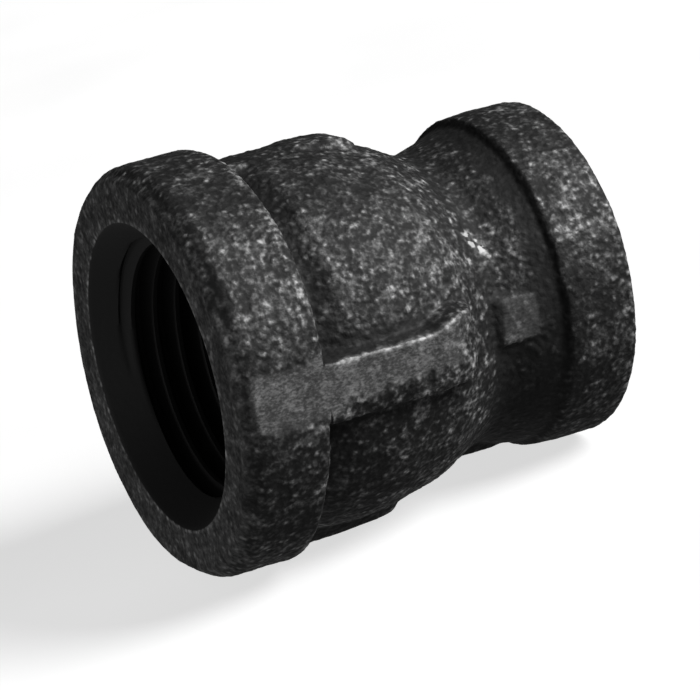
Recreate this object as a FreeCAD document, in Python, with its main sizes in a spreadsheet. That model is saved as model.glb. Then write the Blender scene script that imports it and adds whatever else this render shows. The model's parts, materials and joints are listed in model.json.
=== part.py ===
import FreeCAD, Part
import math
import os
import Sketcher

# Reducing coupling for 1/2 and 3/8 inch pipe: one malleable iron casting with a tapped socket in each end.
# X runs along the bore from the middle of the large end's face to the small end. Z is up. The side ribs stand
# on +Y and -Y, and two ribs lower than the large band on +Z and -Z. All sizes are in millimetres.

INCH = 25.4
THREAD_HEIGHT = 0.75 * math.sqrt(3) / 2      # of the pitch: a 60 degree thread with flats of an eighth
FLAT = 1 / 8                                 # of the pitch, on the crest and in the root
OVERCUT = 0.3                                # how far the thread tool's section stands clear into the bore
BORE_SECTORS = 8
SIGNS = {"+": 1, "-": -1}


def thread_sizes(end, threads_per_inch, pitch_diameter):
    """The sizes of one tapped end, as cells named after that end."""
    pitch = INCH / threads_per_inch
    height = THREAD_HEIGHT * pitch
    crest = pitch_diameter / 2 - height / 2
    tool_depth = height + OVERCUT
    return {
        end + "_lead": pitch,
        end + "_crest_radius": crest,
        end + "_root_radius": crest + height,
        end + "_tool_radius": crest - OVERCUT,
        end + "_tool_half_tip": FLAT * pitch / 2,
        end + "_tool_half_back": FLAT * pitch / 2 + tool_depth * math.tan(math.radians(30)),
    }


SIZES = {
    "length": 33.0,
    # large end band, with a flat front face and a chamfered corner
    "large_radius": 15.2,
    "large_width": 6.6,
    "large_chamfer_length": 1.1,
    "large_chamfer_depth": 0.9,
    # barrel between the bands, and the neck that flares up to the small band
    "barrel_radius": 13.4,
    "barrel_crown": 25.0,
    "neck_start": 19.8,
    "neck_end": 26.8,
    "neck_radius": 12.2,
    "neck_fillet": 6.4,
    # small end band
    "small_radius": 12.7,
    "small_start": 27.2,
    "small_corner": 0.7,
    # ribs along the barrel: two that come up to the large band's outside, and two lower and shorter ones
    "rib_root": 11.5,
    "rib_half_top": 2.0,
    "rib_half_root": 4.2,
    "side_rib_top": 15.07,
    "side_rib_start": 6.0,
    "side_rib_length": 12.2,
    "upper_rib_top": 14.35,
    "upper_rib_start": 6.0,
    "upper_rib_length": 11.0,
    "lower_rib_top": 14.8,
    "lower_rib_start": 6.0,
    "lower_rib_length": 10.0,
    # low pads on the neck
    "pad_root": 10.5,
    "pad_half_top": 1.7,
    "pad_half_root": 2.0,
    "neck_pad_top": 12.1,
    "neck_pad_start": 22.4,
    "neck_pad_length": 3.1,
    # countersunk mouths, tapped lengths and the cored waterway between them
    "large_mouth_radius": 11.4,
    "small_mouth_radius": 9.2,
    "large_bore_length": 12.7,
    "small_bore_length": 11.2,
    "large_thread_length": 12.0,
    "small_thread_length": 10.5,
    "large_core_radius": 8.9,
    "small_core_radius": 7.1,
    "run_in": 2.5,
}
SIZES.update(thread_sizes("large", 14, 19.772))
SIZES.update(thread_sizes("small", 18, 15.926))

doc = FreeCAD.newDocument("reducing_coupling")
sheet = doc.addObject("Spreadsheet::Sheet", "sizes")
for row, (alias, value) in enumerate(SIZES.items(), start=1):
    sheet.set("A%d" % row, alias)
    sheet.set("B%d" % row, "%.5f" % value)
    sheet.setAlias("B%d" % row, alias)
doc.recompute()


def value_of(formula):
    """The value of a sum of cells, such as "length - small_corner"."""
    total, sign = 0.0, 1
    for word in formula.split():
        if word in SIGNS:
            sign = SIGNS[word]
        else:
            total += sign * SIZES.get(word, 0.0)
    return total


def bound(formula):
    """The same sum as an expression that reads the sheet."""
    return " ".join("sizes." + word if word in SIZES else word for word in formula.split())


def origin_plane(body, role):
    return next(item for item in body.Origin.OriginFeatures if item.Role == role)


def arc_between(start, end, radius, side):
    """The shorter arc from start to end. side is 1 for one that bulges left of the way from start to end."""
    chord = end - start
    left = FreeCAD.Vector(-chord.y, chord.x, 0).normalize() * side
    sagitta = radius - math.sqrt(radius ** 2 - (chord.Length / 2) ** 2)
    return Part.ArcOfCircle(start, (start + end) / 2 + left * sagitta, end)


def end_at(sketch, edge, point):
    """Which end of an edge lies at a point: 1 is its start and 2 is its end."""
    return min((1, 2), key=lambda which: sketch.getPoint(edge, which).distanceToPoint(point))


def pin_to_axis(sketch, constraint, edge, which, value, formula):
    """Sets one coordinate of a point: on the axis where the formula is 0, and bound to the sheet elsewhere."""
    if formula == "0":
        across = constraint == "DistanceX"
        axis = -2 if across else -1
        sketch.addConstraint(Sketcher.Constraint("PointOnObject", edge, which, axis))
        return
    number = sketch.addConstraint(Sketcher.Constraint(constraint, -1, 1, edge, which, value))
    sketch.setExpression("Constraints[%d]" % number, bound(formula))


def closed_sketch(body, name, role, corners, arcs=None):
    """A sketch of one closed outline. Each corner is a pair of sums of cells, and each is bound to the sheet.

    arcs gives the radius cell and the side for an edge that is an arc, by the number of the corner it leaves.
    """
    arcs = arcs or {}
    sketch = body.newObject("Sketcher::SketchObject", name)
    sketch.AttachmentSupport = [(origin_plane(body, role), "")]
    sketch.MapMode = "FlatFace"
    points = [FreeCAD.Vector(value_of(across), value_of(up), 0) for across, up in corners]
    count = len(points)
    for i, start in enumerate(points):
        end = points[(i + 1) % count]
        if i in arcs:
            radius, side = arcs[i]
            sketch.addGeometry(arc_between(start, end, SIZES[radius], side), False)
        else:
            sketch.addGeometry(Part.LineSegment(start, end), False)
    for i, point in enumerate(points):
        before = (i - 1) % count
        which = end_at(sketch, i, point)
        sketch.addConstraint(
            Sketcher.Constraint("Coincident", before, end_at(sketch, before, point), i, which))
        across, up = corners[i]
        pin_to_axis(sketch, "DistanceX", i, which, point.x, across)
        pin_to_axis(sketch, "DistanceY", i, which, point.y, up)
    for edge, (radius, _) in arcs.items():
        number = sketch.addConstraint(Sketcher.Constraint("Radius", edge, SIZES[radius]))
        sketch.setExpression("Constraints[%d]" % number, bound(radius))
    doc.recompute()
    return sketch


def add_feature(body, kind, name, profile, **settings):
    """A feature made from a sketch. Refine stays off, so that faces stay split where the model splits them."""
    feature = body.newObject("PartDesign::" + kind, name)
    feature.Profile = profile
    feature.Refine = False
    for setting, value in settings.items():
        setattr(feature, setting, value)
    return feature


def repeat_around_bore(body, name, axis_sketch, originals, occurrences):
    pattern = body.newObject("PartDesign::PolarPattern", name)
    pattern.Originals = originals
    pattern.Axis = (axis_sketch, ["H_Axis"])
    pattern.Angle = 360
    pattern.Occurrences = occurrences
    pattern.Refine = False
    body.Tip = pattern
    doc.recompute()
    return pattern


def add_casting(body):
    """The outside of the casting as one solid of revolution, from face to face."""
    corners = [
        ("0", "0"),
        ("0", "large_radius - large_chamfer_depth"),
        ("large_chamfer_length", "large_radius"),
        ("large_width", "large_radius"),
        ("large_width", "barrel_radius"),
        ("neck_start", "neck_radius"),
        ("neck_end", "neck_radius"),
        ("small_start", "small_radius"),
        ("length - small_corner", "small_radius"),
        ("length", "small_radius - small_corner"),
        ("length", "0"),
    ]
    arcs = {4: ("barrel_crown", 1), 5: ("neck_fillet", -1), 8: ("small_corner", 1)}
    outline = closed_sketch(body, "casting_outline", "XZ_Plane", corners, arcs)
    add_feature(body, "Revolution", "casting", outline, ReferenceAxis=(outline, ["H_Axis"]), Angle=360)
    doc.recompute()
    return outline


def add_raised_bar(body, axis_sketch, name, size, sideways, down=False, pair=False):
    """A bar along X that stands out of the casting, made as a pad from a section across the bore.

    name starts the cells for its top, start and length, and size starts the cells for its section. A sideways
    bar stands on +Y, one that isn't stands on +Z, or on -Z when it is down, and a pair adds its opposite.
    """
    outward = "0 - " if down else ""
    section = [
        ("0 - " + size + "_half_root", outward + size + "_root"),
        ("0 - " + size + "_half_top", outward + name + "_top"),
        (size + "_half_top", outward + name + "_top"),
        (size + "_half_root", outward + size + "_root"),
    ]
    if sideways:
        section = [(out, along) for along, out in section]
    sketch = closed_sketch(body, name + "_section" + ("_down" if down else ""), "YZ_Plane", section)
    sketch.setExpression(".AttachmentOffset.Base.z", bound(name + "_start"))
    bar = add_feature(body, "Pad", name, sketch)
    bar.setExpression("Length", bound(name + "_length"))
    doc.recompute()
    if pair:
        repeat_around_bore(body, name + "_pair", axis_sketch, [bar], 2)


def add_ribs(body, axis_sketch):
    """Flat-topped ribs from the large band down the barrel, and the low pads on the neck behind three of them."""
    add_raised_bar(body, axis_sketch, "side_rib", "rib", sideways=True, pair=True)
    add_raised_bar(body, axis_sketch, "upper_rib", "rib", sideways=False)
    add_raised_bar(body, axis_sketch, "lower_rib", "rib", sideways=False, down=True)
    add_raised_bar(body, axis_sketch, "neck_pad", "pad", sideways=True, pair=True)
    add_raised_bar(body, axis_sketch, "neck_pad", "pad", sideways=False, down=True)


def add_band_flats(body, axis_sketch):
    """The flat top of each side rib runs on over the large band."""
    section = closed_sketch(body, "flat_section", "YZ_Plane", [
        ("side_rib_top", "0 - rib_half_root"),
        ("side_rib_top + large_chamfer_length", "0 - rib_half_root"),
        ("side_rib_top + large_chamfer_length", "rib_half_root"),
        ("side_rib_top", "rib_half_root"),
    ])
    flat = add_feature(body, "Pocket", "band_flat", section, Reversed=True)
    flat.setExpression("Length", bound("large_width"))
    doc.recompute()
    repeat_around_bore(body, "band_flat_pair", axis_sketch, [flat], 2)


def add_bore(body, axis_sketch):
    """The way through: a countersunk mouth and a straight length for each thread, with a cored cone between.

    It is cut as eight equal sectors, so that each thread's crest is a row of short faces and not one long strip.
    """
    outline = closed_sketch(body, "bore_outline", "XZ_Plane", [
        ("0", "0"),
        ("0", "large_mouth_radius"),
        ("large_mouth_radius - large_crest_radius", "large_crest_radius"),
        ("large_bore_length", "large_crest_radius"),
        ("large_bore_length", "large_core_radius"),
        ("length - small_bore_length", "small_core_radius"),
        ("length - small_bore_length", "small_crest_radius"),
        ("length - small_mouth_radius + small_crest_radius", "small_crest_radius"),
        ("length", "small_mouth_radius"),
        ("length", "0"),
    ])
    sector = add_feature(body, "Groove", "bore", outline, ReferenceAxis=(outline, ["H_Axis"]),
                         Angle=360 / BORE_SECTORS)
    doc.recompute()
    repeat_around_bore(body, "bore_sectors", axis_sketch, [sector], BORE_SECTORS)


def add_thread(body, end, start, direction):
    """A right-hand helical groove that starts outside one face and runs inwards. start is the tool's centre."""
    tool = closed_sketch(body, end + "_thread_tool", "XZ_Plane", [
        (start + " - " + end + "_tool_half_back", end + "_tool_radius"),
        (start + " - " + end + "_tool_half_tip", end + "_root_radius"),
        (start + " + " + end + "_tool_half_tip", end + "_root_radius"),
        (start + " + " + end + "_tool_half_back", end + "_tool_radius"),
    ])
    thread = add_feature(body, "SubtractiveHelix", end + "_thread", tool, ReferenceAxis=(tool, ["H_Axis"]),
                         Mode="pitch-height-angle", LeftHanded=False, Reversed=direction < 0)
    thread.setExpression("Pitch", bound(end + "_lead"))
    thread.setExpression("Height", bound("run_in + " + end + "_thread_length"))
    body.Tip = thread
    doc.recompute()


def add_coupling_body():
    body = doc.addObject("PartDesign::Body", "coupling_body")
    body.Label = "coupling_body"
    body.Placement = FreeCAD.Placement()
    outline = add_casting(body)
    add_ribs(body, outline)
    add_band_flats(body, outline)
    add_bore(body, outline)
    add_thread(body, "large", "0 - run_in", 1)
    add_thread(body, "small", "length + run_in", -1)
    return body


def check_document():
    for item in doc.Objects:
        if "Invalid" in item.State or "Error" in item.State:
            raise RuntimeError("%s failed: %s" % (item.Name, item.State))


def write_part(body):
    shape = body.Shape
    if shape.isNull() or not shape.isValid() or len(shape.Solids) != 1:
        raise RuntimeError("%s is not one valid solid" % body.Label)
    shape.exportStep(os.path.join("parts", body.Label + ".step"))
    print("%s: %.1f mm3" % (body.Label, shape.Volume))


coupling_body = add_coupling_body()
doc.recompute()
check_document()
os.makedirs("parts", exist_ok=True)
write_part(coupling_body)
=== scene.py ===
import json
import math

import bpy
import numpy as np
from mathutils import Matrix, Vector


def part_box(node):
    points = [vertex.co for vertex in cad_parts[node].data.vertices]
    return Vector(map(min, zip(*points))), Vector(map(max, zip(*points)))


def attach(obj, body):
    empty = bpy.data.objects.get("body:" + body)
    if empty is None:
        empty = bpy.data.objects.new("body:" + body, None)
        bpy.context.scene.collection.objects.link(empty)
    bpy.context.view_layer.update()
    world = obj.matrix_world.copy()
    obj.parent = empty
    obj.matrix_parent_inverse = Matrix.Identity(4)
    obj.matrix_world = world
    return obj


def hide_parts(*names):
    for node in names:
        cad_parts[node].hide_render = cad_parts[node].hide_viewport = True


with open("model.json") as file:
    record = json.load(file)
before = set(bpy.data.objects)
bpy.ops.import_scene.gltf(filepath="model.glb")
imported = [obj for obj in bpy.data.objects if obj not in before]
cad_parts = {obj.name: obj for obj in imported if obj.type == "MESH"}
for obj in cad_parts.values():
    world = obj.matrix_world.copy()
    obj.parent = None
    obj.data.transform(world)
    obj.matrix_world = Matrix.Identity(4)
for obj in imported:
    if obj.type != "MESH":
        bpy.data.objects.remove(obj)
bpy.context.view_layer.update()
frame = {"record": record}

# A black malleable iron reducing coupling. The casting is one closed mesh, made as a grid round the bore's
# axis: the outside is a turned profile with ribs, pads and flats blended into it and a sand-cast skin pushed
# out of it, and the inside follows the two pipe threads. Sizes are in millimetres unless a comment says
# otherwise, angles of places round the bore count from +Y towards +Z, and the mesh is in metres.

MM = 0.001
NODE = "coupling_body"

low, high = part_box(NODE)
LENGTH = (high[0] - low[0]) / MM
BAND_RADIUS = high[2] / MM
MOUNTS = {mount["name"]: mount for mount in frame["record"]["mounts"]}

# Outside profile. Places along the bore count from the large end's face.
FACE_INSET = 0.06                  # leaves room for the skin of the end faces
FACE_SETBACK = 0.9                 # radius lost to the large end's chamfer
BAND_END = 6.5
BAND_SKEW = 0.42                   # how far the band's rear edge wanders along the bore
SMALL_BAND_START = 27.0
SMALL_BAND_RADIUS = 12.78
SMALL_BAND_LIFT = 0.07             # how far the small band's middle lies above the bore's axis
NECK_SAG = 0.10                    # how far the neck lies below the bore's axis
RIM_SWELL = 0.6                    # how far the front rim stands out low on the +Y side
RIM_SWELL_ANGLE = 318
LARGE_MOUTH = 11.4                 # radius of the countersink at the face
SMALL_MOUTH = 9.2

# Skin of the casting, as layers of (height, size across, seed)
BARREL_GRAINS = ((0.08, 0.5, 11), (0.03, 0.9, 17))
BAND_GRAINS = ((0.05, 0.8, 13), (0.06, 0.5, 19))
MEAN_GRAIN = 0.3                   # about the mean of pebbles()
LUMPS = (0.04, 1.2, 31)
WAVES = (0.05, 4.5, 41)

# A painted highlight: a cluster of bright glints painted on the neck
GLINT_SPOT = {"x": 22.2, "angle": 149.5, "lean": 61.0, "long": 1.5, "wide": 0.6}
GLINT_SPOT_RADIUS = 11.6

# Mesh density
AROUND = 640                       # points round each outside ring
RING_STEP = 0.14
INNER_AROUND = AROUND // 2

INCH = 25.4
THREAD_FLAT = 1 / 6                # of the pitch, on the crest and in the root
THREAD_HEIGHT = 0.75 * math.sqrt(3) / 2


# ---------------------------------------------------------------- smooth shapes

def smooth_max(a, b, blend):
    """The larger of two, with the corner between them rounded over about blend."""
    return 0.5 * (a + b + np.sqrt((a - b) ** 2 + blend ** 2))


def smooth_min(a, b, blend):
    return -smooth_max(-a, -b, blend)


def ramp(value, start, end):
    """0 before start and 1 after end, with soft ends. start may be the larger."""
    t = np.clip((value - start) / (end - start), 0, 1)
    return t * t * (3 - 2 * t)


def rounded_path(corners, step=0.02):
    """Points along straight runs joined by tangent arcs. Each corner is (x, radius, rounding)."""
    points = [np.array(corners[0][:2], float)]
    for before, corner, after in zip(corners, corners[1:], corners[2:]):
        here = np.array(corner[:2], float)
        back = np.array(before[:2], float) - here
        on = np.array(after[:2], float) - here
        back /= np.linalg.norm(back)
        on /= np.linalg.norm(on)
        half = math.acos(np.clip(back @ on, -1, 1)) / 2
        rounding = corner[2]
        middle = here + (back + on) / np.linalg.norm(back + on) * rounding / math.sin(half)
        first = (here + back * rounding / math.tan(half) - middle) / rounding
        last = (here + on * rounding / math.tan(half) - middle) / rounding
        turn = math.pi - 2 * half
        count = max(2, math.ceil(turn * rounding / step))
        for share in np.linspace(0, 1, count + 1):
            way = (math.sin((1 - share) * turn) * first + math.sin(share * turn) * last) / math.sin(turn)
            points.append(middle + way * rounding)
    points.append(np.array(corners[-1][:2], float))
    return np.array(points)


def resample(points, step):
    """The same line with even steps."""
    along = np.r_[0, np.cumsum(np.linalg.norm(np.diff(points, axis=0), axis=1))]
    marks = np.linspace(0, along[-1], int(round(along[-1] / step)) + 1)
    return np.stack([np.interp(marks, along, points[:, k]) for k in (0, 1)], axis=1)


# ---------------------------------------------------------------- seeded noise

def cell_random(cells, seed):
    """A number from 0 to 1 for each integer cell, the same on every run."""
    mixed = np.full(cells.shape[:-1], seed * 2654435761 % 2 ** 32, np.uint64)
    for axis, factor in enumerate((73856093, 19349663, 83492791)):
        mixed ^= cells[..., axis].astype(np.int64).astype(np.uint64) * np.uint64(factor)
        mixed = (mixed ^ (mixed >> np.uint64(15))) * np.uint64(2246822519) % np.uint64(2 ** 32)
        mixed = (mixed ^ (mixed >> np.uint64(13))) * np.uint64(3266489917) % np.uint64(2 ** 32)
    return (mixed ^ (mixed >> np.uint64(16))).astype(float) / 2 ** 32


def soft_noise(points, size, seed):
    """Smooth noise from -1 to 1 whose lumps are about size across."""
    place = points / size
    cell = np.floor(place).astype(np.int64)
    part = place - cell
    part = part * part * (3 - 2 * part)
    total = 0.0
    for corner in np.ndindex(2, 2, 2):
        weight = np.prod(np.where(np.array(corner) == 1, part, 1 - part), axis=-1)
        total = total + weight * cell_random(cell + np.array(corner), seed)
    return 2 * total - 1


def pebbles(points, size, seed):
    """Rounded grains lying side by side, from 0 in the gaps to about 1 on the largest."""
    place = points / size
    cell = np.floor(place).astype(np.int64)
    best = np.zeros(points.shape[:-1])
    for offset in np.ndindex(3, 3, 3):
        near = cell + np.array(offset) - 1
        centre = near + np.stack([cell_random(near, seed + k) for k in (1, 2, 3)], axis=-1)
        reach = 0.45 + 0.35 * cell_random(near, seed + 4)
        height = 0.35 + 0.65 * cell_random(near, seed + 5)
        away = np.sum((place - centre) ** 2, axis=-1) / reach ** 2
        best = np.maximum(best, height * np.clip(1 - away, 0, 1))
    return best


# ---------------------------------------------------------------- outside of the casting

RIB_REACH = math.radians(60)       # a rib changes nothing further from its middle than this
FLAT_REACH = 0.5                   # the same for the flat across the band, in radians
PAD_REACH = 0.6                    # the same for a pad, in radians
NO_WORN_STRIP = 9.0                # further out than any rib's edge
WORN_SLOPE = 0.3                   # fall of the worn strip beside a side rib's flat
HUMP_RISE = (12.0, 13.4)
FLARE_RISE = (14.2, 18.4)
PADS = {180: 11.65, 0: 11.65, 270: 12.12}     # the top of each pad, by its angle
PAD_HALF = 1.65
PAD_SPAN = (22.3, 25.6)
PAD_DRAFT = 0.5
PAD_ROUNDING = 0.3


def flush_rib(angle):
    """A side rib, whose flat top is level with the flat across the large band."""
    return {"angle": angle, "top": high[1] / MM, "upper": 1.62, "lower": 2.55, "worn": 1.15, "draft": 0.25,
            "end": 18.35, "end_slope": 2.2, "edge": 0.12, "flare": 0.95, "droop": (0.09, 2.9), "hump": 0.0,
            "flush": True}


def low_rib(angle, top, half, end, hump):
    """A rounded rib on the top or the bottom, lower than the large band."""
    return {"angle": angle, "top": top, "upper": half, "lower": half, "worn": NO_WORN_STRIP, "draft": 0.75,
            "end": end, "end_slope": 2.0, "edge": 0.3, "flare": 0.0, "droop": (0.10, 1.9), "hump": hump,
            "flush": False}


RIBS = [
    flush_rib(180),
    flush_rib(0),
    low_rib(90, top=13.95, half=1.9, end=17.4, hump=0.22),
    low_rib(270, top=14.92, half=1.9, end=16.0, hump=0.0),
]


def outside_path():
    """The turned profile, from the large mouth's edge round the outside to the small mouth's edge."""
    corners = [
        (FACE_INSET, LARGE_MOUTH, 0),
        (FACE_INSET, BAND_RADIUS - FACE_SETBACK, 0.35),
        (1.15, BAND_RADIUS, 1.3),
        (BAND_END, BAND_RADIUS + 0.12, 0.55),
        (BAND_END + 0.4, 12.95, 0.55),
        (9.4, 13.82, 3),
        (13.0, 14.03, 12),
        (18.5, 12.93, 7),
        (22.6, 10.92, 3.2),
        (SMALL_BAND_START, 12.17, 0.35),
        (SMALL_BAND_START + 0.45, SMALL_BAND_RADIUS - 0.1, 0.4),
        (29.5, SMALL_BAND_RADIUS + 0.05, 9),
        (LENGTH - 0.3, SMALL_BAND_RADIUS, 0.35),
        (LENGTH - FACE_INSET, SMALL_BAND_RADIUS - 0.45, 0.2),
        (LENGTH - FACE_INSET, SMALL_MOUTH, 0),
    ]
    return resample(rounded_path(corners), RING_STEP)


def turn_from(angle, degrees):
    """How far an angle is past a place given in degrees, from -pi to pi."""
    return (angle - math.radians(degrees) + math.pi) % (2 * math.pi) - math.pi


def add_rib(out, shares, rib, x, radius, angle, jag):
    """Blends a rib into the radius, and cuts a side rib's flat across the band. jag roughens the edges."""
    turn = turn_from(angle, rib["angle"])
    near = np.abs(turn) < RIB_REACH
    turn = np.clip(turn, -RIB_REACH, RIB_REACH)
    upward = turn * math.cos(math.radians(rib["angle"])) > 0
    sine, cosine = np.sin(np.abs(turn)), np.cos(turn)

    top = rib["top"] + rib["hump"] * ramp(x, *HUMP_RISE)
    flare = rib["flare"] * ramp(x, *FLARE_RISE) ** 1.3
    half = np.where(upward, rib["upper"] + flare + 0.05 * jag, rib["lower"] + 0.1 * jag)
    plane = top / cosine
    worn_from = np.where(upward, NO_WORN_STRIP, rib["worn"] + 0.9 * ramp(x, 8.6, 7.2) + 0.45 * jag)
    worn = (top + WORN_SLOPE * worn_from) / (cosine + WORN_SLOPE * sine)
    flank = (half + top * rib["draft"]) / (sine + rib["draft"] * cosine)
    height = smooth_min(smooth_min(plane, worn, 0.04), flank, np.where(upward, 0.3, rib["edge"]))
    bow, reach = rib["droop"]
    drooped = height - bow * np.clip(x - rib["end"] + reach, 0, 4) ** 2
    height = smooth_min(drooped, top + (rib["end"] - x) * rib["end_slope"], 0.3)

    across = np.tan(np.abs(turn)) * top
    if rib["flush"]:
        on_band = near & (x < BAND_END + 0.6) & (radius > rib["top"] - 1.6)
        out = np.where(on_band & (np.abs(turn) < FLAT_REACH), np.minimum(out, plane), out)
        bare_half = np.minimum(half, worn_from)
        on_rib = ramp(across, bare_half + 0.15, bare_half - 0.2)
        across_band = ramp(across + 0.3 * jag, 2.5, 1.7)
        bare = np.where(x < BAND_END, across_band, on_rib) * ramp(x, 0.5, 1.2)
        bare = bare * ramp(x, rib["end"] + 0.4, rib["end"] - 2.5)
        shares["flat"] = np.maximum(shares["flat"], bare * near)
        # a painted highlight with wear along the upper edge of a side rib, kept in the worn share
        line = ramp(np.abs(across - half + 0.12 + 0.08 * jag), 0.24, 0.06) * upward * near
        shares["worn"] += line * ramp(x, 7.0, 8.5) * ramp(x, rib["end"] + 0.1, rib["end"] - 0.4)
    soft = 0.004 + 0.2 * ramp(x, BAND_END + 0.2, BAND_END + 1.4)
    risen = smooth_max(out, height, soft)
    return np.where(near, out + (risen - out) * ramp(x, BAND_END - 2.2, BAND_END - 1.4), out)


def add_pad(out, shares, degrees, top, x, angle):
    """Blends one low pad into the neck, in line with a rib."""
    turn = turn_from(angle, degrees)
    near = (np.abs(turn) < PAD_REACH) * ramp(np.abs(x - sum(PAD_SPAN) / 2), 3.2, 2.4)
    turn = np.clip(turn, -PAD_REACH, PAD_REACH)
    sine, cosine = np.sin(np.abs(turn)), np.cos(turn)
    plane = top / cosine
    flank = (PAD_HALF + top * PAD_DRAFT) / (sine + PAD_DRAFT * cosine)
    height = smooth_min(plane, flank, PAD_ROUNDING)
    for end, way in zip(PAD_SPAN, (1, -1)):
        height = smooth_min(height, top + 0.1 + (x - end) * way, PAD_ROUNDING)
    out = out + (smooth_max(out, height, 0.25) - out) * near
    across = np.tan(np.abs(turn)) * top
    bare = ramp(across, PAD_HALF + 0.2, PAD_HALF - 0.2)
    bare = bare * ramp(x, PAD_SPAN[0], PAD_SPAN[0] + 0.4) * ramp(x, PAD_SPAN[1], PAD_SPAN[1] - 0.4)
    shares["flat"] = np.maximum(shares["flat"], 0.75 * bare * near)
    return out


def outside_radius(x, radius, angle):
    """The radius with ribs, pads and flats, and how flat each place is and how much painted highlight and
    wear it has along a side rib's upper edge, from 0 to 1.
    """
    in_neck = ramp(x, 19.5, 22.0) * ramp(x, 27.2, 25.5)
    lift = SMALL_BAND_LIFT * ramp(x, 26.5, 27.5) * ramp(x, LENGTH, LENGTH - 0.4) - NECK_SAG * in_neck
    swell = RIM_SWELL * ramp(np.abs(turn_from(angle, RIM_SWELL_ANGLE)), math.radians(62), math.radians(8))
    at_rim = ramp(x, 4.5, 2.0) * ramp(radius, LARGE_MOUTH + 0.5, BAND_RADIUS - 1.2)
    out = radius + lift * np.sin(angle) + swell * at_rim
    shares = {"flat": np.zeros(out.shape), "worn": np.zeros(out.shape)}
    jag = soft_noise(round_points(x, radius + 0 * angle, angle), 0.8, 71)
    for rib in RIBS:
        out = add_rib(out, shares, rib, x, radius, angle, jag)
    for degrees, top in PADS.items():
        out = add_pad(out, shares, degrees, top, x, angle)
    return out, shares


def grain_height(points, layers):
    """Height of some layers of grains, about 0 on average."""
    return sum(height * (pebbles(points, size, seed) - MEAN_GRAIN) for height, size, seed in layers)


def cast_skin(points, x, flat_share):
    """How far the sand-cast skin stands out of the smooth shape, in millimetres, and how rough it is."""
    on_face = np.maximum(ramp(x, 0.35, 0.05), ramp(x, LENGTH - 0.3, LENGTH - 0.05))
    on_chamfer = ramp(x, 1.5, 0.9)
    on_band = np.maximum(ramp(x, BAND_END + 0.4, BAND_END - 0.2),
                         ramp(x, SMALL_BAND_START + 0.2, SMALL_BAND_START + 0.8))
    in_fillet = ramp(x, 24.8, 26.0) * ramp(x, SMALL_BAND_START + 0.3, SMALL_BAND_START)
    rough = (1 - 0.7 * flat_share) * (1 - 0.45 * on_face) * (1 - 0.3 * on_chamfer) * (1 - 0.3 * in_fillet)
    patchy = 0.75 + 0.45 * soft_noise(points, 2.2, 57)
    barrel_grains, band_grains = (grain_height(points, layers) for layers in (BARREL_GRAINS, BAND_GRAINS))
    grains = barrel_grains + (band_grains - barrel_grains) * on_band
    lumps, waves = (height * soft_noise(points, size, seed) for height, size, seed in (LUMPS, WAVES))
    waves = waves * (1 - 0.7 * np.maximum(on_face, flat_share))
    return rough * patchy * (grains + lumps) + waves, rough


def glint_share(points, x, angle):
    """How bright the painted glints are, from 0 to 2."""
    lean = math.radians(GLINT_SPOT["lean"])
    ahead, aside = x - GLINT_SPOT["x"], turn_from(angle, GLINT_SPOT["angle"]) * GLINT_SPOT_RADIUS
    along = (ahead * math.cos(lean) + aside * math.sin(lean)) / GLINT_SPOT["long"]
    across = (aside * math.cos(lean) - ahead * math.sin(lean)) / GLINT_SPOT["wide"]
    inside = np.clip(2.5 - 2 * along ** 2 - 2 * across ** 2, 0, 2)
    return inside * ramp(pebbles(points, 0.5, 91), 0.12, 0.36)


def blurred(field, reach):
    """A grid closed in its second direction, averaged over about reach cells each way."""
    for _ in range(3):
        for axis, mode in ((0, "edge"), (1, "wrap")):
            pad = [(0, 0), (0, 0)]
            pad[axis] = (reach, reach + 1)
            total = np.cumsum(np.pad(field, pad, mode=mode), axis=axis)
            width = 2 * reach + 1
            field = (np.take(total, range(width, total.shape[axis]), axis=axis)
                     - np.take(total, range(0, total.shape[axis] - width), axis=axis)) / width
    return field


def painted_shade_and_edge_light_share(x, out, angle, normals, flat_share):
    """Painted shade, up to 1 in hollows, on steep walls and at the foot of a band, and worn edges with a
    painted highlight, down to -1 on an edge.
    """
    narrow, wide = blurred(out, 3) - out, blurred(out, 9) - out
    off_faces = ramp(x, 0.8, 2.0) * ramp(x, LENGTH - 0.5, LENGTH - 1.5)
    hollow = off_faces * (0.6 * np.clip(narrow / 0.30, 0, 1) + 0.2 * np.clip(wide / 0.7, 0, 1))
    upright = normals[..., 1] * np.cos(angle) + normals[..., 2] * np.sin(angle)
    wall = 0.5 * ramp(upright, 0.85, 0.4) * ramp(x, 3.0, 4.0) * ramp(x, 30.0, 29.0)
    # painted shade on the shoulder before the small band, from further back on the lower side
    lower_side = ramp(np.sin(angle), 0.25, 0.0)
    shade_start = 24.8 - 7.0 * lower_side
    shoulder = (0.8 - 0.2 * lower_side) * ramp(x, shade_start, shade_start + 1.8) * (1 - flat_share)
    shoulder = shoulder * ramp(x, SMALL_BAND_START + 0.4, SMALL_BAND_START + 0.2)
    # and painted shade in the step behind the large band, on both sides of the upper rib
    off_top_rib = ramp(np.abs(turn_from(angle, 90)), math.radians(7), math.radians(10))
    step = 0.8 * ramp(x, 6.5, 6.9) * ramp(x, 9.6, 7.8) * ramp(np.sin(angle), 0.7, 0.9) * off_top_rib
    # convex edges lose the painted shade and go below 0, for wear with a painted highlight
    edge = np.clip((-narrow - 0.04) / 0.14, 0, 1)
    beside_rib_end = ramp(x, 13.5, 16.5) * ramp(x, 26.6, 25.6)
    hollow, wall = (field * (1 - 0.85 * beside_rib_end) for field in (hollow, wall))
    painted_shade = np.maximum(np.maximum(hollow, shoulder), step)
    return np.maximum(painted_shade - edge, wall - 0.6 * edge)


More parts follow.
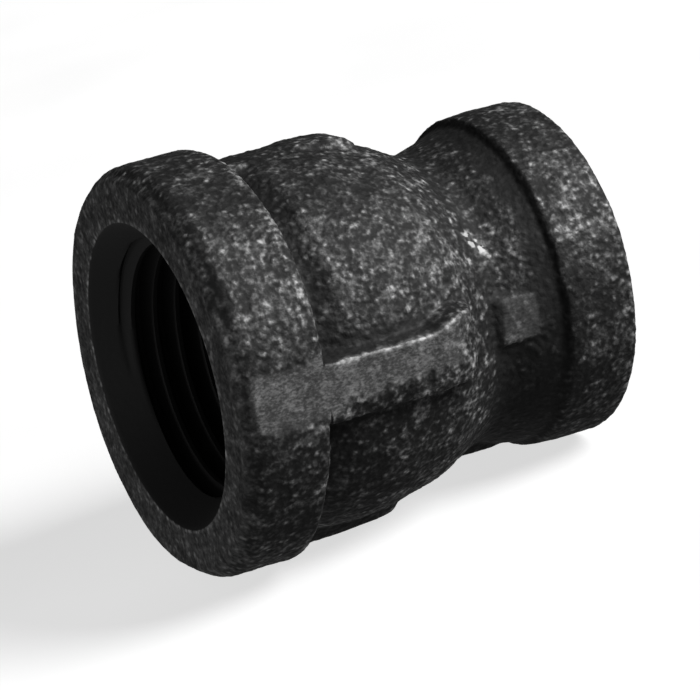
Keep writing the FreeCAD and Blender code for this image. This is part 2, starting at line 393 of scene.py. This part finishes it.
def grid_normals(points):
    """Outward normals of a grid of points that is closed in its second direction."""
    along = np.gradient(points, axis=0)
    around = np.roll(points, -1, axis=1) - np.roll(points, 1, axis=1)
    normal = np.cross(around, along)
    return normal / np.maximum(np.linalg.norm(normal, axis=2, keepdims=True), 1e-9)


def round_points(x, radius, angle):
    return np.stack([x + 0 * angle, radius * np.cos(angle), radius * np.sin(angle)], axis=-1)


def outside_grid():
    """Points of the outside, ring by ring, with what the material needs to know at each."""
    path = outside_path()
    x, radius = path[:, :1], path[:, 1:]
    angle = np.arange(AROUND)[None, :] * 2 * math.pi / AROUND
    x = x - BAND_SKEW * np.sin(2 * angle) * ramp(x, 3.0, BAND_END - 0.5) * ramp(x, 10.5, BAND_END + 1.0)
    out, shares = outside_radius(x, radius, angle)
    points = round_points(x, out, angle)
    normals = grid_normals(points)
    height, rough = cast_skin(points, x, shares["flat"])
    rings = np.arange(len(path))
    fade = ramp(rings, 0, 4) * ramp(rings, len(path) - 1, len(path) - 5)
    height = height * fade[:, None]
    points = points + normals * height[..., None]
    points[..., 0] = np.clip(points[..., 0], 0.0, LENGTH)
    bloom = np.maximum(0.5 * ramp(x, 0.8, 0.2), 0.3 * ramp(x, LENGTH - 0.4, LENGTH - 0.1))
    # a painted highlight round the large mouth's rim and a cluster of painted glints on the neck join the
    # rib's edge highlight in worn
    rim_highlight = 0.6 * ramp(out, LARGE_MOUTH + 0.35, LARGE_MOUTH + 0.1) * ramp(x, 0.5, 0.1)
    worn = np.maximum(np.maximum(shares["worn"], rim_highlight), glint_share(points, x, angle))
    return points, {"relief": height, "cast": rough, "flat": np.maximum(shares["flat"], bloom), "worn": worn,
                    "painted_shade_and_edge_light": painted_shade_and_edge_light_share(x, out, angle, normals, shares["flat"])}


# ---------------------------------------------------------------- bore and threads

def thread_end(crest, threads_per_inch, start, stop, face, mouth):
    pitch = INCH / threads_per_inch
    return {"crest": crest, "pitch": pitch, "depth": THREAD_HEIGHT * pitch, "start": start, "stop": stop,
            "face": face, "mouth": mouth}


LARGE_STOP, SMALL_STOP = 12.7, LENGTH - 11.2     # where each tapped end meets the cast waterway
LARGE = thread_end(MOUNTS["large_thread"]["dims"]["r_mm"], 14, 0.3, LARGE_STOP, 0.0, LARGE_MOUTH)
SMALL = thread_end(MOUNTS["small_thread"]["dims"]["r_mm"], 18, SMALL_STOP, LENGTH - 0.3, LENGTH, SMALL_MOUTH)
CORE = ((LARGE_STOP, 8.9), (SMALL_STOP, 7.1))    # (x, radius) of the waterway's two ends
MOUTH_SLOPE = 0.82                 # radius lost per millimetre into a countersunk mouth
MOUTH_RING = 0.12                  # depth of the first ring inside each face
THREAD_PHASE = 0.55                # share of a turn that sets where the groove starts
SNAP = 0.03                        # a thread row this near a flat ring joins it


def groove_share(phase):
    """Depth of the groove, from 0 on the crest to 1 in the root, at a phase counted from mid crest."""
    away = np.abs((phase + 0.5) % 1 - 0.5)
    return np.clip((away - THREAD_FLAT / 2) / (0.5 - THREAD_FLAT), 0, 1)


def bore_radius(end, x, angle):
    """Radius of a tapped end: its countersink, or its thread where that is deeper. It runs out inside."""
    phase = (x - end["face"]) / end["pitch"] - angle / (2 * math.pi) + THREAD_PHASE
    inward = np.abs(x - end["face"])
    length = end["stop"] - end["start"]
    run_out = ramp(inward, length + 0.2, length - 0.9)
    run_in = 0.3 + 0.7 * ramp(inward, 1.2, 3.0)
    thread = end["crest"] + end["depth"] * groove_share(phase) * np.minimum(run_in, run_out)
    countersink = end["mouth"] - MOUTH_SLOPE * inward
    return np.maximum(thread, countersink)


class Mesh:
    """Collects points, and faces that all have four corners. A triangle's last corner is there twice."""

    def __init__(self):
        self.points, self.faces, self.count = [], [], 0

    def add_points(self, points):
        points = np.asarray(points).reshape(-1, 3)
        first = self.count
        self.points.append(points)
        self.count += len(points)
        return np.arange(first, self.count)

    def add_faces(self, a, b, c, d):
        self.faces.append(np.stack([a, b, c, d], axis=-1).reshape(-1, 4))

    def join_rings(self, ring, following):
        """Quads between two rings of the same count."""
        self.add_faces(ring, np.roll(ring, -1), np.roll(following, -1), following)

    def join_to_half(self, fine, coarse, inward):
        """Triangles between a ring and one with half its count."""
        even, odd, after = fine[0::2], fine[1::2], np.roll(fine[0::2], -1)
        beyond = np.roll(coarse, -1)
        for a, b, c in ((even, odd, coarse), (odd, beyond, coarse), (odd, after, beyond)):
            if inward:
                self.add_faces(a, c, b, b)
            else:
                self.add_faces(a, b, c, c)


def helical_rings(mesh, end, first_ring, last_ring):
    """Fills one tapped length with rows of faces that follow its helix, between two flat rings."""
    count = INNER_AROUND
    edges = np.array([-0.5, -0.5 + THREAD_FLAT / 2, -0.36, -0.28, -0.17, -THREAD_FLAT / 2, 0,
                      THREAD_FLAT / 2, 0.17, 0.28, 0.36, 0.5 - THREAD_FLAT / 2])
    per_turn = len(edges)
    turns = int(math.ceil((end["stop"] - end["start"]) / end["pitch"])) + 2
    base = math.floor((end["start"] - end["face"]) / end["pitch"] + THREAD_PHASE) - 1
    phases = np.concatenate([edges + base + k for k in range(turns + 1)])
    angle = np.arange(count) * 2 * math.pi / count
    x = end["face"] + (phases[:, None] - THREAD_PHASE + angle[None, :] / (2 * math.pi)) * end["pitch"]
    before, after = x <= end["start"] + SNAP, x >= end["stop"] - SNAP
    inside = ~(before | after)
    index = np.zeros(x.shape, int)
    index[inside] = mesh.add_points(round_points(x, bore_radius(end, x, angle[None, :]),
                                                 angle[None, :] + 0 * x)[inside])
    index = np.where(before, first_ring[None, :], np.where(after, last_ring[None, :], index))
    seam = np.concatenate([index[per_turn:, :1], np.tile(last_ring[:1], (per_turn, 1))])
    wide = np.concatenate([index, seam], axis=1)
    mesh.add_faces(wide[:-1, :-1], wide[1:, :-1], wide[1:, 1:], wide[:-1, 1:])


def casting_mesh():
    """The whole casting as one closed mesh."""
    mesh = Mesh()
    points, outside = outside_grid()
    rings = mesh.add_points(points).reshape(points.shape[:2])
    for ring, following in zip(rings, rings[1:]):
        mesh.join_rings(ring, following)
    outside_count = mesh.count

    angle = np.arange(INNER_AROUND) * 2 * math.pi / INNER_AROUND
    cone = [(x, np.interp(x, *zip(*CORE))) for x in np.linspace(CORE[0][0] + 0.35, CORE[1][0] - 0.3, 12)]

    def flat_ring(x, radius):
        return mesh.add_points(round_points(x, radius + 0 * angle, angle))

    def thread_ring(end, x):
        return flat_ring(x, bore_radius(end, x, angle))

    mouth_in = thread_ring(LARGE, MOUTH_RING)
    large_first, large_last = thread_ring(LARGE, LARGE["start"]), thread_ring(LARGE, LARGE["stop"])
    small_first, small_last = thread_ring(SMALL, SMALL["start"]), thread_ring(SMALL, SMALL["stop"])
    mouth_out = thread_ring(SMALL, LENGTH - MOUTH_RING)
    mesh.join_to_half(rings[0], mouth_in, inward=True)
    mesh.join_rings(large_first, mouth_in)
    helical_rings(mesh, LARGE, large_first, large_last)
    passage = [large_last] + [flat_ring(x, radius) for x, radius in cone] + [small_first]
    for ring, following in zip(passage, passage[1:]):
        mesh.join_rings(following, ring)
    helical_rings(mesh, SMALL, small_first, small_last)
    mesh.join_rings(mouth_out, small_last)
    mesh.join_to_half(rings[-1], mouth_out, inward=False)

    attributes = {"bore": np.ones(mesh.count)}
    attributes["bore"][:outside_count] = 0
    for key, values in outside.items():
        attributes[key] = np.zeros(mesh.count)
        attributes[key][:outside_count] = values.ravel()
    return mesh, attributes


def blender_mesh(name, mesh, attributes):
    """An object with the mesh in metres, and each attribute stored by point."""
    points = np.concatenate(mesh.points) * MM
    quads = np.concatenate(mesh.faces)
    faces = []
    for face in quads.tolist():
        corners = [v for k, v in enumerate(face) if v != face[k - 1]]
        if len(set(corners)) > 2:
            faces.append(corners)
    data = bpy.data.meshes.new(name)
    data.from_pydata(points.tolist(), [], faces)
    for key, values in attributes.items():
        layer = data.attributes.new(key, "FLOAT", "POINT")
        layer.data.foreach_set("value", values.astype(np.float32))
    data.shade_smooth()
    data.set_sharp_from_angle(angle=math.radians(42))
    piece = bpy.data.objects.new(name, data)
    bpy.context.scene.collection.objects.link(piece)
    return piece


# ---------------------------------------------------------------- material

class Nodes:
    """A short way to write a node tree."""

    def __init__(self, name):
        self.material = bpy.data.materials.new(name)
        self.material.use_nodes = True
        self.tree = self.material.node_tree
        self.tree.nodes.clear()

    def add(self, kind, inputs=None, **settings):
        node = self.tree.nodes.new(kind)
        for key, value in settings.items():
            setattr(node, key, value)
        for key, value in (inputs or {}).items():
            if isinstance(value, bpy.types.NodeSocket):
                self.tree.links.new(value, node.inputs[key])
            else:
                node.inputs[key].default_value = value
        return node

    def maths(self, operation, *values):
        return self.add("ShaderNodeMath", dict(enumerate(values)), operation=operation).outputs[0]

    def ramp(self, value, start, end, low, high):
        inputs = {"Value": value, "From Min": start, "From Max": end, "To Min": low, "To Max": high}
        return self.add("ShaderNodeMapRange", inputs).outputs["Result"]

    def noise(self, place, size, detail=3.0, roughness=0.55):
        inputs = {"Vector": place, "Scale": 1 / (size * MM), "Detail": detail, "Roughness": roughness}
        return self.add("ShaderNodeTexNoise", inputs).outputs["Fac"]

    def grains(self, place, size):
        inputs = {"Vector": place, "Scale": 1 / (size * MM)}
        return self.add("ShaderNodeTexVoronoi", inputs, feature="F1").outputs["Distance"]

    def mix(self, share, first, second):
        """first where share is 0, second where it is 1."""
        return self.maths("ADD", self.maths("MULTIPLY", first, self.maths("SUBTRACT", 1.0, share)),
                          self.maths("MULTIPLY", second, share))

    def attribute(self, name):
        return self.add("ShaderNodeAttribute", attribute_name=name).outputs["Fac"]


TONE_SHADES = ((0.03, 0.003), (0.24, 0.016), (0.45, 0.075), (0.7, 0.26), (1.0, 0.6))
BORE_TONE = 0.33
BUMP_HEIGHT = 0.065


def black_iron():
    """Oiled black cast iron: charcoal on the grains, darker between them, with a broken semi-gloss. Painted
    shade darkens hollows, walls, the shoulder and the step, and painted highlights lighten edges and a
    cluster of glints.
    """
    n = Nodes("black_iron")
    place = n.add("ShaderNodeTexCoord").outputs["Object"]
    cast, relief, bore, flat = (n.attribute(key) for key in ("cast", "relief", "bore", "flat"))
    painted_shade_and_edge_light, worn = n.attribute("painted_shade_and_edge_light"), n.attribute("worn")
    speckle = n.noise(place, 0.40, 2.0, 0.5)
    patch = n.noise(place, 1.5, 3.0, 0.6)
    blobs = n.ramp(n.grains(place, 0.58), 0.6, 0.12, 0.0, 1.0)
    pick = n.ramp(n.noise(place, 0.7, 1.0), 0.42, 0.64, 0.0, 1.0)
    along = n.add("ShaderNodeMapping", {"Vector": place, "Scale": (0.6, 1, 1)}).outputs[0]
    streaks = n.noise(along, 0.16, 3.0, 0.6)

    skin_tone = n.maths("ADD", n.ramp(relief, -0.04, 0.05, 0.0, 0.22), n.ramp(patch, 0.3, 0.7, -0.14, 0.42))
    skin_tone = n.maths("ADD", skin_tone, n.maths("MULTIPLY", n.maths("MULTIPLY", blobs, pick), 0.68))
    skin_tone = n.maths("ADD", skin_tone, n.ramp(speckle, 0.3, 0.7, -0.26, 0.36))
    flat_tone = n.maths("ADD", n.ramp(streaks, 0.3, 0.7, 0.48, 0.9), n.ramp(patch, 0.3, 0.7, -0.15, 0.15))
    flat_tone = n.maths("ADD", flat_tone, n.maths("MULTIPLY", n.maths("MULTIPLY", blobs, pick), 0.25))
    tone = n.mix(flat, skin_tone, flat_tone)
    # worn edges get lighter: wear with a painted highlight
    edge_wear_and_highlight = n.maths("MULTIPLY", n.ramp(painted_shade_and_edge_light, -1.0, 0.0, 0.55, 0.0), n.ramp(speckle, 0.4, 0.7, 0.2, 1.0))
    tone = n.maths("ADD", tone, n.maths("MULTIPLY", edge_wear_and_highlight, n.ramp(patch, 0.4, 0.6, 0.2, 1.0)))
    # painted shade: darker in hollows, on steep walls, on the shoulder and in the step behind the large band
    tone = n.maths("MULTIPLY", tone, n.ramp(painted_shade_and_edge_light, 0.0, 1.0, 1.0, 0.15))
    # worn is up to 1 along the rib's edge, a painted highlight with wear, and round the large mouth's rim, a
    # painted highlight, and up to 2 on the specks, painted glints
    edge_highlight_and_wear = n.maths("MULTIPLY", n.ramp(worn, 0.0, 1.0, 0.0, 1.0), n.ramp(blobs, 0.0, 0.9, 0.2, 0.85))
    tone = n.maths("ADD", tone, edge_highlight_and_wear)
    # painted glints on the neck
    tone = n.maths("ADD", tone, n.ramp(worn, 1.0, 1.8, 0.0, 1.0))
    tone = n.mix(bore, tone, BORE_TONE)
    colour = n.add("ShaderNodeValToRGB", {"Fac": n.maths("MULTIPLY", tone, 0.7)})
    steps = colour.color_ramp
    for element, (position, shade) in zip(steps.elements, (TONE_SHADES[0], TONE_SHADES[-1])):
        element.position, element.color = position, (shade, shade, shade, 1)
    for position, shade in TONE_SHADES[1:-1]:
        steps.elements.new(position).color = (shade, shade, shade, 1)

    gloss = n.ramp(tone, 0.15, 0.8, 0.72, 0.40)
    height = n.maths("ADD", n.maths("MULTIPLY", blobs, 0.7), n.maths("MULTIPLY", speckle, 1.0))
    height = n.maths("MULTIPLY", height, n.ramp(cast, 0.0, 1.0, 0.12, 1.0))
    bump = n.add("ShaderNodeBump", {"Strength": 1.0, "Distance": BUMP_HEIGHT * MM, "Height": height})

    shader = n.add("ShaderNodeBsdfPrincipled", {
        "Base Color": colour.outputs["Color"], "Roughness": gloss, "Normal": bump.outputs["Normal"],
        "Metallic": 0.0, "Specular IOR Level": 0.45})
    out = n.add("ShaderNodeOutputMaterial")
    n.tree.links.new(shader.outputs[0], out.inputs["Surface"])
    return n.material


def floor_material():
    n = Nodes("pale_floor")
    place = n.add("ShaderNodeTexCoord").outputs["Object"]
    shade = n.ramp(n.noise(place, 40.0, 2.0), 0.3, 0.7, 0.50, 0.53)
    colour = n.add("ShaderNodeCombineColor", {"Red": shade, "Green": shade, "Blue": shade})
    shader = n.add("ShaderNodeBsdfPrincipled", {
        "Base Color": colour.outputs[0], "Roughness": 0.9, "Specular IOR Level": 0.1,
        "Emission Color": colour.outputs[0], "Emission Strength": 1.3})
    out = n.add("ShaderNodeOutputMaterial")
    n.tree.links.new(shader.outputs[0], out.inputs["Surface"])
    return n.material


# ---------------------------------------------------------------- stage, lights and camera

CENTRE = Vector((LENGTH / 2, 0, 0)) * MM
FLOOR_HALF = 3.0                   # metres
LAMP_DISTANCE = 2.5                # metres

# Sizes are in metres, and light_on_part in watts per square metre
SOFTBOXES = {
    "key": {"azimuth": -44, "elevation": 41, "size": 1.2, "light_on_part": 3.6},
    "fill": {"azimuth": 184, "elevation": 3, "size": 0.6, "light_on_part": 0.26},
}

# The surround's strength falls from To Min to To Max as a direction's rise goes from From Min to From Max
SURROUND = {"From Min": -0.3, "From Max": 0.15, "To Min": 0.17, "To Max": 0.05}

VIEW_AIM = (16.5, 1.9, -2.6)
VIEW_AZIMUTH = 65.25               # the way the camera looks, from +X towards +Y
VIEW_ELEVATION = -14.35
VIEW_ROLL = -9.53
VIEW_DISTANCE = 223.7
LENS = 154.5
SENSOR_WIDTH = 36


def add_floor():
    """A plain floor under both bands, so it leans by the difference of their radii over their distance."""
    near_x, far_x = BAND_END - 0.6, LENGTH - 1.2
    rise = (BAND_RADIUS - SMALL_BAND_RADIUS) / (far_x - near_x)
    skin_gap = 0.12
    corners = []
    for across, along in ((-1, -1), (1, -1), (1, 1), (-1, 1)):
        x = across * FLOOR_HALF
        corners.append((x, along * FLOOR_HALF, (-BAND_RADIUS - skin_gap - near_x * rise) * MM + x * rise))
    data = bpy.data.meshes.new("floor")
    data.from_pydata(corners, [], [(0, 1, 2, 3)])
    floor = bpy.data.objects.new("floor", data)
    bpy.context.scene.collection.objects.link(floor)
    data.materials.append(floor_material())
    floor.visible_diffuse = False
    floor.visible_glossy = False


def direction(azimuth, elevation):
    """Unit vector at an azimuth in degrees from +X towards +Y, and an elevation."""
    azimuth, elevation = math.radians(azimuth), math.radians(elevation)
    level = math.cos(elevation)
    return Vector((level * math.cos(azimuth), level * math.sin(azimuth), math.sin(elevation)))


def add_softbox(name, azimuth, elevation, size, light_on_part):
    """A round soft light aimed at the part. Its power gives light_on_part watts per square metre there."""
    light = bpy.data.lights.new(name, "AREA")
    light.shape = "DISK"
    light.size = size
    light.energy = light_on_part * math.pi * LAMP_DISTANCE ** 2
    lamp = bpy.data.objects.new(name, light)
    towards = direction(azimuth, elevation)
    lamp.location = CENTRE + towards * LAMP_DISTANCE
    lamp.rotation_euler = towards.to_track_quat("Z", "Y").to_euler()
    bpy.context.scene.collection.objects.link(lamp)


def add_lights():
    """A softbox to the front right, a weak one to the left, and a dim surround that is paler below."""
    for name, settings in SOFTBOXES.items():
        add_softbox(name, **settings)
    world = bpy.data.worlds.new("studio")
    world.use_nodes = True
    tree = world.node_tree
    place = tree.nodes.new("ShaderNodeTexCoord")
    split = tree.nodes.new("ShaderNodeSeparateXYZ")
    fade = tree.nodes.new("ShaderNodeMapRange")
    for key, value in SURROUND.items():
        fade.inputs[key].default_value = value
    background = tree.nodes["Background"]
    background.inputs["Color"].default_value = (1, 1, 1, 1)
    tree.links.new(place.outputs["Generated"], split.inputs[0])
    tree.links.new(split.outputs["Z"], fade.inputs["Value"])
    tree.links.new(fade.outputs["Result"], background.inputs["Strength"])
    bpy.context.scene.world = world


def add_camera():
    """A long lens, rolled so that the coupling's length rises to the right."""
    aim = Vector(VIEW_AIM) * MM
    forward = direction(VIEW_AZIMUTH, VIEW_ELEVATION)
    data = bpy.data.cameras.new("camera")
    data.sensor_width = SENSOR_WIDTH
    data.lens = LENS
    data.clip_start = 0.01
    camera = bpy.data.objects.new("camera", data)
    level = forward.to_track_quat("-Z", "Y").to_matrix()
    turn = level @ Matrix.Rotation(math.radians(VIEW_ROLL), 3, "Z")
    camera.matrix_world = Matrix.Translation(aim - forward * VIEW_DISTANCE * MM) @ turn.to_4x4()
    bpy.context.scene.collection.objects.link(camera)
    bpy.context.scene.camera = camera


coupling = blender_mesh("iron_casting", *casting_mesh())
coupling.data.materials.append(black_iron())
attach(coupling, "root")
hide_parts(NODE)
add_floor()
add_lights()
add_camera()
bpy.context.scene.view_settings.view_transform = "Standard"
